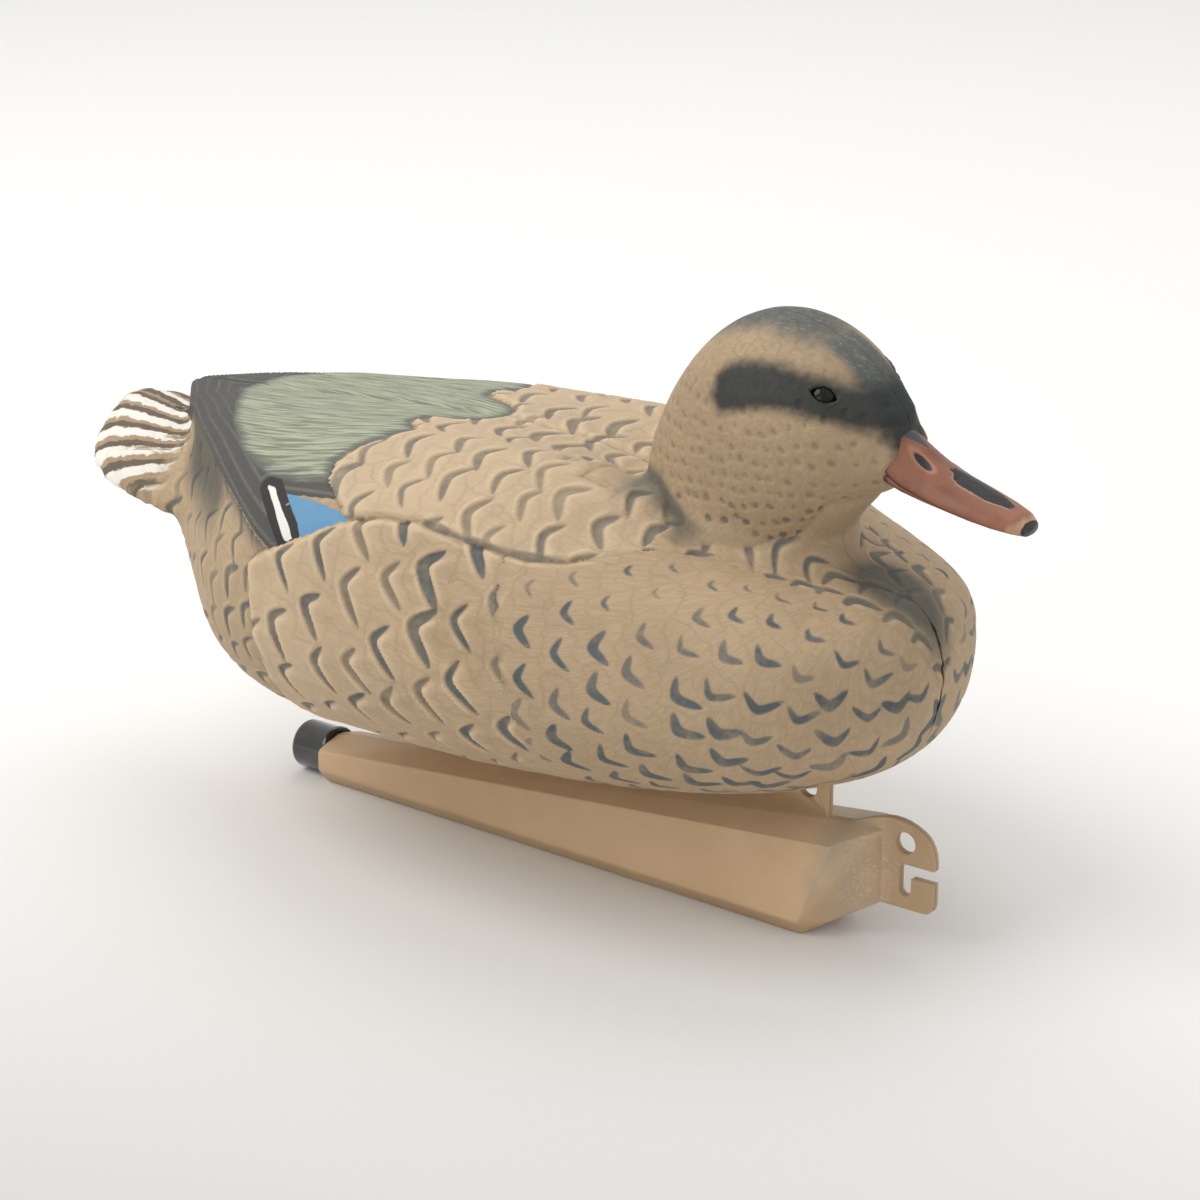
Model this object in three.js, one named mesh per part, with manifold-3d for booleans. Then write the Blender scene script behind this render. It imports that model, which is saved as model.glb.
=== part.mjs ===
// Floating duck decoy: a hen mallard at rest, for a hunter's spread on the water.
// Millimetres, +Z up. The duck faces +X, its right side is -Y, and the keel stands on Z = 0.
// The casing is two thin half shells that meet on the seam plane Y = 0, with body, neck, head and bill in one.
// A hollow keel hangs under it on a flat web. It holds sand behind a push-on cap, and its fin takes the anchor line.
import * as THREE from "three";
import { mergeVertices } from "three/addons/utils/BufferGeometryUtils.js";
import Module from "manifold-3d";

const wasm = await Module();
wasm.setup();

// driving dimensions
const WALL = 2.2; // thickness of the casing
const GAP = 0.3; // clearance between pieces that touch
const SEAM_GAP = 0.3; // between the two halves

const TAIL_DROOP = 13; // how far the sides of the tail fan hang below its middle
const VALLEY_HALF_WIDTH = 30; // of the hollow between the shoulders, behind the neck
const WING_TIP_X = -160;
const FAR = 300; // beyond the object on every side

const EYE = { x: 124.4, y: 17, z: 184.4, radius: 4.4, stemRadius: 2.2, stemLength: 7 };

const KEEL = {
  rearX: -92, // end face round the filling neck
  bowX: 117, // front end of the flat bottom
  shoulderX: 131, // front end of the sides
  finX: 141, // where the bow has run into the fin
  rear: { halfWidth: 12, sideTop: 13.5 },
  front: { halfWidth: 17.3, sideTop: 36.5 },
  ridge: 3, // rise of the top from its edges to the web
  chamferAcross: 5,
  chamferUp: 6,
  bowBottom: 14,
  wall: 2,
};
const NECK = { z: 9.2, radius: 7, length: 14.5, bore: 5 };
const CAP = { wall: 1.8, end: 2.2, bevel: 2, roundOff: 0.6 };
// The web's top edge follows the belly: up from its rear, and by a curve from the middle to its front.
const WEB = {
  thickness: 3,
  frontX: 120,
  rearX: -46,
  frontTop: 61,
  bend: [60, 48],
  middle: [0, 44.5],
  rearTop: 45.5,
  rootDepth: 1,
  holeX: 112,
  holeZ: 47,
  holeRadius: 3.6,
};
// The fin's root lies inside the bow. Its crest is three curves, each a control point and then an end point.
const FIN = {
  frontX: 160.7,
  bottomZ: 14.2,
  corner: 4,
  noseZ: 32,
  rootX: 118,
  rootBottom: 30,
  rootTop: 36,
  heel: 134,
  crest: [
    [160.2, 39, 155.7, 41.5],
    [149, 45.5, 141.5, 44],
    [136, 42.5, 131, 40],
  ],
};
const LINE_HOLE = { x: 149.7, z: 36.9, radius: 3.8 };
const LINE_SLOT = { width: 4.6, innerX: 150, mouthZ: 27.4, footZ: 20.8 };
const CUTTER_REACH = 5; // how far a cutter stands out from the seam plane

// section stations
// Each row is one cross-section: [x, top z, bottom z, half width, z of the widest point, valley depth].
const TORSO = [
  [160.8, 96, 96, 0, 96, 0],
  [159.5, 105, 85, 12, 96, 0],
  [155, 114, 73, 27.5, 96, 0],
  [146, 120.5, 63, 44, 95, 0],
  [131, 125, 56.5, 57.5, 94, 0],
  [108, 131.5, 50, 69, 93, 2],
  [78, 141.5, 45, 78, 93, 9],
  [42, 147.5, 42, 84, 92, 9],
  [2, 146, 40, 85, 90, 4],
  [-36, 143, 39.5, 82, 89, 2],
  [-70, 139, 40.5, 76, 88, 1],
  [-98, 134, 46.5, 62, 88, 0],
  [-121, 128.5, 62, 43.5, 93, 0],
  [-142, 125, 83, 29, 103, 0],
  [-160, 121.5, 98, 22, 109, 0],
  [-172, 117, 107, 12, 112, 0],
  [-176, 113, 113, 0, 113, 0],
];
// The folded wings and the back between them, a little proud of the body and standing off the rump.
const MANTLE = [
  [88, 128, 128, 0, 128, 0],
  [81, 145, 110, 34, 125, 9],
  [60, 152, 80, 67, 105, 13],
  [32, 154.5, 60, 80, 96, 10],
  [-4, 153, 60, 82, 96, 4.5],
  [-42, 150.5, 62, 80, 97, 2],
  [-76, 147.5, 66, 74, 99, 1.5],
  [-104, 145, 76, 62, 104, 1],
  [-130, 142.5, 90, 46, 112, 0.5],
  [-150, 140.5, 106, 30, 122, 0],
  [-162, 139, 120, 15, 130, 0],
  [-166, 133, 133, 0, 133, 0],
];
const TAIL = [
  [-110, 112, 112, 0, 112],
  [-118, 119, 102, 26, 112],
  [-140, 122, 106, 38, 115],
  [-160, 125.5, 113, 40, 120],
  [-175, 128.5, 119, 36, 124],
  [-185, 130, 124, 26, 127],
  [-189.3, 129.5, 127, 13, 128.5],
  [-190.2, 129, 129, 0, 129],
];
const HEAD = [
  [54, 142, 142, 0, 142],
  [57, 158, 126, 15, 142],
  [63, 175, 112, 23, 143],
  [73, 191, 103, 28, 147],
  [85, 201.5, 104, 30.5, 152],
  [98, 205, 110, 31, 158],
  [110, 203.5, 121, 29.5, 166],
  [121, 198.5, 135, 26, 171],
  [130, 191, 146, 22, 171],
  [138, 182, 152, 17, 169],
  [143, 175.5, 156, 12.5, 167],
  [145.5, 170, 160, 7, 165],
  [146.5, 165, 165, 0, 165],
];
const BILL = [
  [130, 168, 168, 0, 168],
  [134, 175, 163, 6, 168],
  [140, 177.5, 159.5, 9.5, 167],
  [147, 174.5, 157.5, 11.4, 164],
  [157, 168, 155, 11, 160.5],
  [168, 161, 152.6, 11.5, 156.5],
  [178, 155.8, 150.4, 12, 153],
  [185.5, 152.6, 149.4, 10.5, 151],
  [189.3, 151, 149.4, 6.5, 150.2],
  [190.2, 150.2, 150.2, 0, 150.2],
];
// Seen from above, the rear edge of a folded wing runs out from its tip to the flank: [x, distance from the seam].
const WING_EDGE = [
  [-135, 24],
  [-97, 53],
  [-68, 70],
  [-46, 84],
  [-40, 95],
  [100, 95],
];
const WING_SLAB = { bottom: 50, top: 170 };
// The neck stands up out of the breast: [z, front x, rear x, half width, x of the widest point].
const NECK_COLUMN = [
  [104, 94, 94, 0, 94],
  [106, 130, 60, 33, 94],
  [122, 127, 50, 34, 91],
  [136, 121, 51, 33, 89],
  [148, 115, 53, 29.5, 87],
  [160, 113, 55, 27, 86],
  [174, 108, 66, 20, 88],
  [178, 88, 88, 0, 88],
];

// solids
function solidOf(geometry) {
  const bare = geometry.clone();
  bare.deleteAttribute("normal");
  bare.deleteAttribute("uv");
  const merged = mergeVertices(bare, 1e-4);
  const solid = new wasm.Manifold(
    new wasm.Mesh({
      numProp: 3,
      vertProperties: merged.attributes.position.array,
      triVerts: new Uint32Array(merged.index.array),
    }),
  );
  return solid.volume() < 0 ? solidOf(turnedOut(merged)) : solid;
}

function turnedOut(geometry) {
  const index = geometry.index.array;
  for (let i = 0; i < index.length; i += 3) {
    [index[i + 1], index[i + 2]] = [index[i + 2], index[i + 1]];
  }
  return geometry;
}

function geometryOf(solid) {
  const mesh = solid.getMesh();
  const places = new Float32Array(mesh.numVert * 3);
  for (let i = 0; i < mesh.numVert; i++) {
    for (let k = 0; k < 3; k++) places[3 * i + k] = mesh.vertProperties[mesh.numProp * i + k];
  }
  const geometry = new THREE.BufferGeometry();
  geometry.setAttribute("position", new THREE.BufferAttribute(places, 3));
  geometry.setIndex(new THREE.BufferAttribute(mesh.triVerts, 1));
  return geometry;
}

const joined = (solids) => solids.reduce((all, one) => all.add(one));

// A box from its low corner to its high corner.
function block(low, high) {
  const size = high.map((value, k) => value - low[k]);
  const box = new THREE.BoxGeometry(...size);
  box.translate(...low.map((value, k) => value + size[k] / 2));
  return solidOf(box);
}

// A round rod along X, at height z on the seam plane.
function rodAlongX(radius, from, to, z, sides = 32) {
  const cylinder = new THREE.CylinderGeometry(radius, radius, to - from, sides);
  cylinder.rotateZ(-Math.PI / 2);
  cylinder.translate((from + to) / 2, 0, z);
  return solidOf(cylinder);
}

// A round rod along Y, centred at x and z.
function rodAlongY(radius, from, to, x, z, sides = 28) {
  const cylinder = new THREE.CylinderGeometry(radius, radius, to - from, sides);
  cylinder.translate(x, (from + to) / 2, z);
  return solidOf(cylinder);
}

// A flat plate on the seam plane, from a side outline drawn with x forward and z up.
function plate(outline, thickness) {
  const flat = new THREE.ExtrudeGeometry(outline, { depth: thickness, bevelEnabled: false, curveSegments: 5 });
  flat.rotateX(Math.PI / 2);
  flat.translate(0, thickness / 2, 0);
  return solidOf(flat);
}

// lofts
// The smooth curve through one column of the rows, at t from 0 to 1.
function through(rows, column, t) {
  const place = t * (rows.length - 1);
  const i = Math.min(Math.floor(place), rows.length - 2);
  const at = (k) => rows[THREE.MathUtils.clamp(k, 0, rows.length - 1)][column] ?? 0;
  const u = place - i;
  const [a, b, c, d] = [at(i - 1), at(i), at(i + 1), at(i + 2)];
  return 0.5 * (2 * b + (c - a) * u + (2 * a - 5 * b + 4 * c - d) * u ** 2 + (3 * b - a - 3 * c + d) * u ** 3);
}

// A closed form through the stations: a sphere whose rings take the shape of each section in turn.
// upper and lower are the roundness of each half of a section (2 is an ellipse, more is squarer),
// inset pulls the whole skin inwards, droop hangs its sides, and stand turns its length from X to Z.
function loft(rows, options) {
  const { along, around, inset = 0, droop = 0, upper = 2.2, lower = 2.2, stand = false } = options;
  const skin = new THREE.SphereGeometry(1, around, along);
  const places = skin.attributes.position;
  const first = rows[0][0];
  const last = rows[rows.length - 1][0];
  const squeeze = 1 - (2 * inset) / Math.abs(first - last);
  const shrink = (size) => Math.max(size - inset, 0);
  for (let i = 0; i < places.count; i++) {
    const ring = Math.round((Math.acos(THREE.MathUtils.clamp(places.getY(i), -1, 1)) / Math.PI) * along);
    const t = ring / along;
    const [x, top, bottom, halfWidth, widest, valley] = [0, 1, 2, 3, 4, 5].map((k) => through(rows, k, t));
    const length = (first + last) / 2 + (x - (first + last) / 2) * squeeze;
    const isPole = ring === 0 || ring === along;
    const angle = Math.atan2(places.getZ(i), places.getX(i));
    const across = isPole ? 0 : Math.cos(angle);
    const up = isPole ? 0 : Math.sin(angle);
    const soften = 2 / (up > 0 ? upper : lower);
    const y = Math.sign(across) * Math.abs(across) ** soften * shrink(halfWidth);
    const reach = up > 0 ? shrink(top - widest) : shrink(widest - bottom);
    const nearRidge = (1 - Math.min(1, Math.abs(y) / VALLEY_HALF_WIDTH) ** 2) ** 2;
    const hollow = valley * nearRidge * THREE.MathUtils.clamp(2 * up, 0, 1);
    const sag = halfWidth > 0 ? droop * (y / halfWidth) ** 2 : 0;
    const height = widest + Math.sign(up) * Math.abs(up) ** soften * reach - hollow - sag;
    if (stand) places.setXYZ(i, height, y, length);
    else places.setXYZ(i, length, y, height);
  }
  return solidOf(skin);
}

// A straight-sided form through rings of eight points each, closed at both ends.
function prism(rings) {
  const sides = rings[0].length;
  const shape = new THREE.Shape();
  for (let k = 0; k < sides; k++) {
    const angle = (2 * Math.PI * k) / sides;
    if (k === 0) shape.moveTo(Math.cos(angle), Math.sin(angle));
    else shape.lineTo(Math.cos(angle), Math.sin(angle));
  }
  const steps = rings.length - 1;
  const form = new THREE.ExtrudeGeometry(shape, { depth: steps, steps, bevelEnabled: false });
  const places = form.attributes.position;
  for (let i = 0; i < places.count; i++) {
    const turn = Math.atan2(places.getY(i), places.getX(i)) / (2 * Math.PI);
    const corner = Math.round(turn * sides + sides) % sides;
    places.setXYZ(i, ...rings[Math.round(places.getZ(i))][corner]);
  }
  return solidOf(form);
}

// casing
// An upright slab with the outline of both folded wings.
function wingPlan(inset) {
  const shape = new THREE.Shape();
  shape.moveTo(WING_TIP_X + inset, 0);
  for (const [x, y] of WING_EDGE) shape.lineTo(x + inset, -y);
  for (const [x, y] of WING_EDGE.toReversed()) shape.lineTo(x + inset, y);
  const slab = new THREE.ExtrudeGeometry(shape, { depth: WING_SLAB.top - WING_SLAB.bottom, bevelEnabled: false });
  slab.translate(0, 0, WING_SLAB.bottom);
  return solidOf(slab);
}

function bodyForm(inset, detail) {
  const rings = (count) => Math.round(count * detail);
  const torso = loft(TORSO, { along: rings(34), around: rings(38), inset, upper: 2.7 });
  const wings = loft(MANTLE, { along: rings(24), around: rings(34), inset, upper: 2.7 });
  const neck = loft(NECK_COLUMN, { along: rings(12), around: rings(28), inset, upper: 2, lower: 2, stand: true });
  const head = loft(HEAD, { along: rings(24), around: rings(30), inset, upper: 2.5 });
  return joined([torso, wings.intersect(wingPlan(3 * inset)), neck, head]);
}

function casing() {
  const tail = loft(TAIL, { along: 12, around: 22, droop: TAIL_DROOP });
  const bill = loft(BILL, { along: 16, around: 18, upper: 2.4, lower: 2.4 });
  const outside = joined([bodyForm(0, 1), tail, bill]);
  return outside.subtract(bodyForm(WALL, 0.6)).subtract(webPlate(GAP));
}

// keel
// One ring of the keel. Its flat face may lean, from bottomX on the floor side to topX at the shoulders.
function keelRing({ bottomX, topX, halfWidth, bottom, sideTop, flat, across, up }) {
  const corner = (y, z) => [THREE.MathUtils.mapLinear(z, bottom, sideTop, bottomX, topX), y, z];
  const right = [
    corner(-flat, sideTop + KEEL.ridge),
    corner(-halfWidth, sideTop),
    corner(-halfWidth, bottom + up),
    corner(-(halfWidth - across), bottom),
  ];
  const left = right.map(([x, y, z]) => [x, -y, z]).reverse();
  return [...right, ...left];
}

// The keel's outer form, or with an inset the hollow inside it.
function keelBody(inset) {
  const flat = WEB.thickness / 2;
  const { rear, front, rearX, bowX, shoulderX, finX, chamferAcross, chamferUp, bowBottom } = KEEL;
  const section = ({ halfWidth, sideTop }) => ({
    halfWidth: halfWidth - inset,
    sideTop: sideTop - inset,
    bottom: inset,
    flat,
    across: chamferAcross,
    up: chamferUp,
  });
  const rings = [
    keelRing({ ...section(rear), bottomX: rearX + inset, topX: rearX + inset }),
    keelRing({ ...section(front), bottomX: bowX - inset, topX: shoulderX - 2 * inset }),
  ];
  if (inset === 0) {
    const stem = { halfWidth: flat + 0.1, sideTop: front.sideTop, bottom: bowBottom, flat, across: 0.4, up: 1 };
    rings.push(keelRing({ ...stem, bottomX: finX, topX: finX }));
  }
  return prism(rings);
}

function webPlate(clearance) {
  const keelTop = (x) => {
    const share = (x - KEEL.rearX) / (KEEL.shoulderX - KEEL.rearX);
    return THREE.MathUtils.lerp(KEEL.rear.sideTop, KEEL.front.sideTop, share) + KEEL.ridge - WEB.rootDepth;
  };
  const outline = new THREE.Shape();
  outline.moveTo(WEB.rearX - clearance, keelTop(WEB.rearX));
  outline.lineTo(WEB.frontX + clearance, keelTop(WEB.frontX));
  outline.lineTo(WEB.frontX + clearance, WEB.frontTop + clearance);
  outline.quadraticCurveTo(...WEB.bend, WEB.middle[0], WEB.middle[1] + clearance);
  outline.lineTo(WEB.rearX - clearance, WEB.rearTop + clearance);
  return plate(outline, WEB.thickness + 2 * clearance);
}

function finPlate() {
  const { frontX, bottomZ, corner, noseZ, rootX, rootBottom, rootTop, heel, crest } = FIN;
  const outline = new THREE.Shape();
  outline.moveTo(rootX, rootBottom);
  outline.lineTo(heel, bottomZ);
  outline.lineTo(frontX - corner, bottomZ);
  outline.quadraticCurveTo(frontX, bottomZ, frontX, bottomZ + corner);
  outline.lineTo(frontX, noseZ);
  for (const curve of crest) outline.quadraticCurveTo(...curve);
  outline.lineTo(rootX, rootTop);
  return plate(outline, WEB.thickness).subtract(joined(lineCutters()));
}

// The hole, and the slot that runs in from the front edge and turns down to its foot.
function lineCutters() {
  const reach = CUTTER_REACH;
  const { width, innerX, mouthZ, footZ } = LINE_SLOT;
  const half = width / 2;
  const mouth = block([innerX, -reach, mouthZ - half], [FIN.frontX + reach, reach, mouthZ + half]);
  const leg = block([innerX - half, -reach, footZ], [innerX + half, reach, mouthZ]);
  const ends = [mouthZ, footZ].map((z) => rodAlongY(half, -reach, reach, innerX, z, 20));
  const hole = rodAlongY(LINE_HOLE.radius, -reach, reach, LINE_HOLE.x, LINE_HOLE.z);
  return [mouth, leg, hole, ...ends];
}

function keel() {
  const neck = rodAlongX(NECK.radius, KEEL.rearX - NECK.length, KEEL.rearX + KEEL.wall, NECK.z);
  const bore = rodAlongX(NECK.bore, KEEL.rearX - NECK.length - 1, KEEL.rearX + 2 * KEEL.wall, NECK.z, 24);
  const webHole = rodAlongY(WEB.holeRadius, -CUTTER_REACH, CUTTER_REACH, WEB.holeX, WEB.holeZ);
  const shell = joined([keelBody(0), neck, webPlate(0).subtract(webHole), finPlate()]);
  return shell.subtract(keelBody(KEEL.wall)).subtract(bore);
}

// A cup pushed over the neck, with a domed end.
function keelCap() {
  const inner = NECK.radius + GAP;
  const outer = inner + CAP.wall;
  const depth = NECK.length;
  const end = depth + CAP.end;
  const profile = [
    [0, depth],
    [inner, depth],
    [inner, 0],
    [outer, 0],
    [outer, end - CAP.bevel],
    [outer - CAP.roundOff, end - CAP.roundOff],
    [outer - CAP.bevel, end],
    [0, end],
  ];
  const cup = new THREE.LatheGeometry(profile.map(([r, h]) => new THREE.Vector2(r, h)), 36);
  cup.rotateZ(Math.PI / 2);
  cup.translate(KEEL.rearX - GAP, 0, NECK.z);
  return solidOf(cup);
}

// The sand that fills the keel, the same on both sides of the seam plane.
function ballast() {
  const right = keelBody(KEEL.wall + GAP).intersect(block([-FAR, -FAR, -FAR], [FAR, 0, FAR]));
  return right.add(mirrored(right));
}

// eyes
// A glass-like bead with a short stem, set into the side of the head.
function eyeBead(clearance) {
  const bead = new THREE.SphereGeometry(EYE.radius + clearance, 20, 14);
  bead.translate(EYE.x, -EYE.y, EYE.z);
  const stem = rodAlongY(EYE.stemRadius + clearance, -EYE.y, -EYE.y + EYE.stemLength + clearance, EYE.x, EYE.z, 16);
  return joined([solidOf(bead), stem]);
}

// assembly
const looks = {
  casing: { color: 0xb89b74, roughness: 0.62, metalness: 0 },
  keel: { color: 0xa98d69, roughness: 0.5, metalness: 0 },
  cap: { color: 0x161616, roughness: 0.22, metalness: 0 },
  eye: { color: 0x101010, roughness: 0.08, metalness: 0 },
  sand: { color: 0xc8b48c, roughness: 0.95, metalness: 0 },
};

function named(name, solid, look) {
  const mesh = new THREE.Mesh(geometryOf(solid), new THREE.MeshStandardMaterial(looks[look]));
  mesh.name = name;
  return mesh;
}

// The right half of a solid, and its mirror image for the left.
function halves(solid) {
  const side = block([-FAR, -FAR, -FAR], [FAR, -SEAM_GAP / 2, FAR]);
  const right = solid.intersect(side);
  return [right, mirrored(right)];
}

function mirrored(solid) {
  return solidOf(geometryOf(solid).scale(1, -1, 1));
}

const decoy = new THREE.Group();
const [shellRight, shellLeft] = halves(casing());
const socket = eyeBead(GAP);
decoy.add(named("body_shell_right", shellRight.subtract(socket), "casing"));
decoy.add(named("body_shell_left", shellLeft.subtract(mirrored(socket)), "casing"));
const [keelRight, keelLeft] = halves(keel());
decoy.add(named("keel_shell_right", keelRight, "keel"));
decoy.add(named("keel_shell_left", keelLeft, "keel"));
decoy.add(named("keel_cap", keelCap(), "cap"));
decoy.add(named("sand_ballast", ballast(), "sand"));
decoy.add(named("eye_right", eyeBead(0), "eye"));
decoy.add(named("eye_left", mirrored(eyeBead(0)), "eye"));
export default decoy;
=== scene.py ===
# Floating duck decoy: the looks of a moulded, hand-painted hen mallard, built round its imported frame.
# Sizes in the dictionaries are millimetres; every mesh is put into metres when it is made.
import math
import bmesh
import bpy
import numpy as np
from mathutils import Matrix, Vector
from mathutils.bvhtree import BVHTree


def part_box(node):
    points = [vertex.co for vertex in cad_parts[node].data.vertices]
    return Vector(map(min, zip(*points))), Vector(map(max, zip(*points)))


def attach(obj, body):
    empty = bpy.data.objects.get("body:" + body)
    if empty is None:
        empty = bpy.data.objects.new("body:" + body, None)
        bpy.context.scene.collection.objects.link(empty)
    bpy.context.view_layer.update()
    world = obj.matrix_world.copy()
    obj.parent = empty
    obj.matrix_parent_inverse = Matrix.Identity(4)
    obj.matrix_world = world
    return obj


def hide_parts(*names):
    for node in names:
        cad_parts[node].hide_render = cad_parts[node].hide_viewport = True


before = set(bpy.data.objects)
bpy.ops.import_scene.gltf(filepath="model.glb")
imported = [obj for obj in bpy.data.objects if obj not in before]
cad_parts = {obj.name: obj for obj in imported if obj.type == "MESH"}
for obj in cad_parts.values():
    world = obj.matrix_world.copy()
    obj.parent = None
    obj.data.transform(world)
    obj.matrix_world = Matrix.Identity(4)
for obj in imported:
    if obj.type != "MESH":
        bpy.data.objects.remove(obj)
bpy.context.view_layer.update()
mm = 0.001


# stage, light and camera
studio = {
    "target": (26.2, 0, 92.9),
    "azimuth": 37, "elevation": 19.5, "distance": 1141, "lens": 102,
    # floorFar and floorNearShaded give the floor's colour far from and near the camera; the darker near side
    # is painted shade
    "floorRadius": 6, "floorFar": (0.9, 0.895, 0.885), "floorNearShaded": (0.50, 0.487, 0.47),
    "worldColour": (1.0, 0.998, 0.992), "worldStrength": 0.70,
    "lights": {  # azimuth, elevation, distance, size in metres, watts and colour
        "key": (-36, 50, 2000, 1.6, 18.5, (1, 0.99, 0.97)),
        "back": (215, 62, 2200, 1.8, 12, (1, 1, 1)),
        "low": (5, 12, 2400, 1.6, 5, (1, 1, 1)),
        "fill": (85, 30, 2400, 2.0, 2, (0.98, 0.99, 1)),
    },
}


def around(azimuth, elevation, distance):
    # a point round the target, with azimuth 0 in front of the duck's right side
    a, e = math.radians(azimuth), math.radians(elevation)
    back = Vector((math.sin(a) * math.cos(e), -math.cos(a) * math.cos(e), math.sin(e)))
    return Vector(studio["target"]) * mm + back * distance * mm


def faceTarget(thing):
    aim = Vector(studio["target"]) * mm - thing.location
    thing.rotation_euler = aim.to_track_quat("-Z", "Y").to_euler()


def softLight(name, azimuth, elevation, distance, size, power, colour):
    data = bpy.data.lights.new(name, "AREA")
    data.shape, data.size, data.energy, data.color = "DISK", size, power, colour
    lamp = bpy.data.objects.new(name, data)
    bpy.context.scene.collection.objects.link(lamp)
    lamp.location = around(azimuth, elevation, distance)
    faceTarget(lamp)


def setStage():
    scene = bpy.context.scene
    camera = bpy.data.objects.new("camera", bpy.data.cameras.new("camera"))
    scene.collection.objects.link(camera)
    camera.location = around(studio["azimuth"], studio["elevation"], studio["distance"])
    faceTarget(camera)
    camera.data.lens, camera.data.sensor_width = studio["lens"], 36
    camera.data.clip_start, camera.data.clip_end = 0.05, 60
    scene.camera = camera

    bm = bmesh.new()
    bmesh.ops.create_circle(bm, cap_ends=True, segments=96, radius=studio["floorRadius"])
    mesh = meshFrom(bm, "floor")
    floor = bpy.data.objects.new("floor", mesh)
    scene.collection.objects.link(floor)
    look, tree, shader = material("pale sweep", 0.9, 0.15)
    place = put(tree, "ShaderNodeSeparateXYZ", {0: put(tree, "ShaderNodeTexCoord").outputs["Object"]}).outputs
    # the floor's colour darkens towards the camera: painted shade standing in for the light falling off
    ahead = minus(tree, times(tree, place[0], 0.28), times(tree, place[1], 1.04))
    grey = blend(tree, ramp(tree, ahead, -0.2, 0.6), (*studio["floorFar"], 1), (*studio["floorNearShaded"], 1))
    finish(tree, shader, grey)
    mesh.materials.append(look)

    world = bpy.data.worlds.new("studio")
    world.use_nodes = True
    background = world.node_tree.nodes["Background"]
    background.inputs["Color"].default_value = (*studio["worldColour"], 1)
    background.inputs["Strength"].default_value = studio["worldStrength"]
    scene.world = world
    scene.view_settings.view_transform = "Standard"

    for name, values in studio["lights"].items():
        softLight(name, *values)
    print("stage, light and camera set")


# small helpers for shader trees
def linear(code):
    parts = [int(code[i:i + 2], 16) / 255 for i in (1, 3, 5)]
    return tuple(p / 12.92 if p <= 0.04045 else ((p + 0.055) / 1.055) ** 2.4 for p in parts) + (1.0,)


def put(tree, kind, inputs=None, **settings):
    node = tree.nodes.new(kind)
    for name, value in settings.items():
        setattr(node, name, value)
    for name, value in (inputs or {}).items():
        if isinstance(value, bpy.types.NodeSocket):
            tree.links.new(value, node.inputs[name])
        else:
            node.inputs[name].default_value = value
    return node


def calc(tree, operation, a, b=0.0, clamp=False):
    return put(tree, "ShaderNodeMath", {0: a, 1: b}, operation=operation, use_clamp=clamp).outputs[0]


def plus(tree, a, b):
    return calc(tree, "ADD", a, b)


def minus(tree, a, b):
    return calc(tree, "SUBTRACT", a, b)


def times(tree, a, b, clamp=False):
    return calc(tree, "MULTIPLY", a, b, clamp)


def blend(tree, share, under, over):
    # colours may be given as hex codes
    under, over = (linear(c) if isinstance(c, str) else c for c in (under, over))
    node = put(tree, "ShaderNodeMix", {0: share, 6: under, 7: over}, data_type="RGBA")
    return node.outputs[2]


def ramp(tree, value, low, high, start=0.0, end=1.0):
    # a smooth step of the value from low to high
    node = put(tree, "ShaderNodeMapRange", {0: value, 1: low, 2: high, 3: start, 4: end},
               interpolation_type="SMOOTHSTEP")
    return node.outputs[0]


def painted(tree, name):
    return put(tree, "ShaderNodeAttribute", attribute_name=name).outputs["Fac"]


def noise(tree, where, scale, detail=2.0, roughness=0.5):
    node = put(tree, "ShaderNodeTexNoise",
               {"Vector": where, "Scale": scale, "Detail": detail, "Roughness": roughness})
    return node.outputs["Fac"]


def group(name, inputs, outputs):
    tree = bpy.data.node_groups.new(name, "ShaderNodeTree")
    for label, kind, value in inputs:
        socket = tree.interface.new_socket(label, in_out="INPUT", socket_type=kind)
        if value is not None:
            socket.default_value = value
    for label, kind in outputs:
        tree.interface.new_socket(label, in_out="OUTPUT", socket_type=kind)
    return tree, tree.nodes.new("NodeGroupInput").outputs, tree.nodes.new("NodeGroupOutput").inputs


def use(tree, shared, inputs):
    node = put(tree, "ShaderNodeGroup", node_tree=bpy.data.node_groups[shared])
    for name, value in inputs.items():
        if isinstance(value, bpy.types.NodeSocket):
            tree.links.new(value, node.inputs[name])
        else:
            node.inputs[name].default_value = value
    return node.outputs


def material(name, roughness=0.6, specular=0.4, coat=0.0, coatRoughness=0.1):
    look = bpy.data.materials.new(name)
    look.use_nodes = True
    tree = look.node_tree
    shader = tree.nodes["Principled BSDF"]
    shader.inputs["Roughness"].default_value = roughness
    shader.inputs["Specular IOR Level"].default_value = specular
    shader.inputs["Coat Weight"].default_value = coat
    shader.inputs["Coat Roughness"].default_value = coatRoughness
    return look, tree, shader


def finish(tree, shader, colour, roughness=None, height=None, strength=0.3, distance=0.3):
    # distance is the bump's height in millimetres
    tree.links.new(colour, shader.inputs["Base Color"])
    if roughness is not None:
        tree.links.new(roughness, shader.inputs["Roughness"])
    if height is not None:
        bump = put(tree, "ShaderNodeBump",
                   {"Strength": strength, "Distance": distance * mm, "Height": height})
        tree.links.new(bump.outputs["Normal"], shader.inputs["Normal"])


def makeGrainGroup():
    # fine moulded grain: a height, and a slow mottle for colour and roughness
    tree, given, made = group(
        "moulded grain",
        [("Size", "NodeSocketFloat", 0.8), ("Mottle", "NodeSocketFloat", 25.0)],
        [("Height", "NodeSocketFloat"), ("Mottle", "NodeSocketFloat")],
    )
    where = put(tree, "ShaderNodeTexCoord").outputs["Object"]
    scale = calc(tree, "DIVIDE", 1000.0, given["Size"])
    tree.links.new(noise(tree, where, scale, 3.0, 0.6), made["Height"])
    slow = calc(tree, "DIVIDE", 1000.0, given["Mottle"])
    tree.links.new(ramp(tree, noise(tree, where, slow, 4.0, 0.6), 0.3, 0.7), made["Mottle"])


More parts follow.
